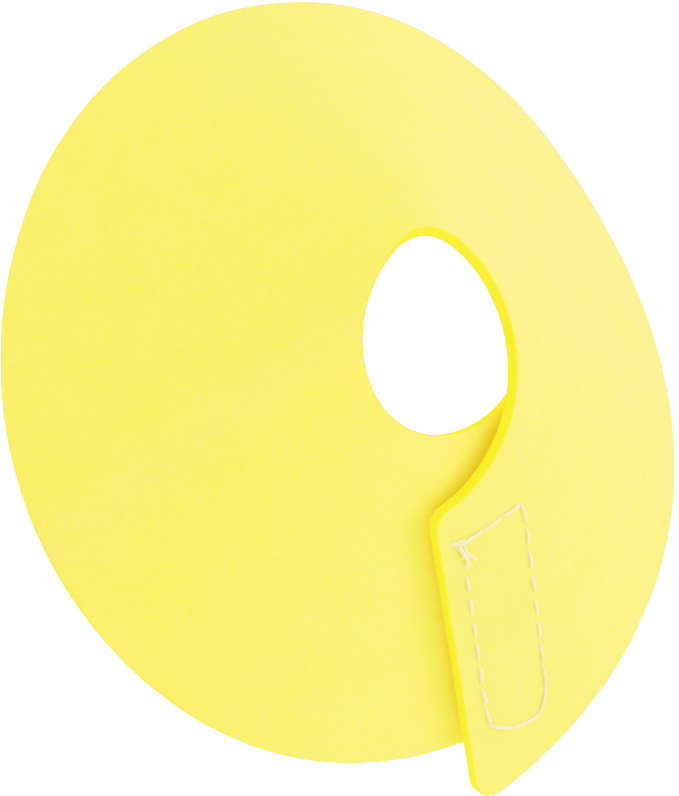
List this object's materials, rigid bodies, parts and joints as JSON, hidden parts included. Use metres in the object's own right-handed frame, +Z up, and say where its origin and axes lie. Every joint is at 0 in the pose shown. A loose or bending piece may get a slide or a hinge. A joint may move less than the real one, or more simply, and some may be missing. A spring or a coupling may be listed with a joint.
{
  "type": "foam cone collar",
  "caption": "Slit foam ring rolled into a shallow cone and closed by a sewn hook-and-loop patch under its overlapping tab.",
  "frame": {"origin": "centre of the footprint, on the surface that the collar stands on", "axes": "+Z up, through the neck opening, with the wide rim down; +Y from the closing tab, which faces -Y, to the back of the rim"},
  "size_m": [0.121, 0.1328, 0.0506],
  "materials": {
    "eva_foam": "matt closed-cell EVA foam, pale yellow, with a fine felt-like skin",
    "hook_tape": "woven nylon tape with stiff hooks",
    "loop_tape": "woven nylon tape with brushed loops",
    "thread": "twisted polyester sewing thread, cream"
  },
  "bodies": {
    "collar": {"collar_sheet": "eva_foam", "loop_tape": "loop_tape", "end_top_thread": "thread", "end_bobbin_thread": "thread", "end_back_tack": "thread"},
    "tab": {"closing_tab": "eva_foam", "hook_tape": "hook_tape", "tab_top_thread": "thread", "tab_bobbin_thread": "thread", "tab_back_tack": "thread"}
  },
  "joints": [
    {"name": "tab_peel", "type": "hinge", "parent": "collar", "child": "tab", "pos_m": [0.00526, -0.00734, 0.03801], "axis": [-0.259, 0.8083, 0.5287], "range_deg": [0, 85]}
  ]
}
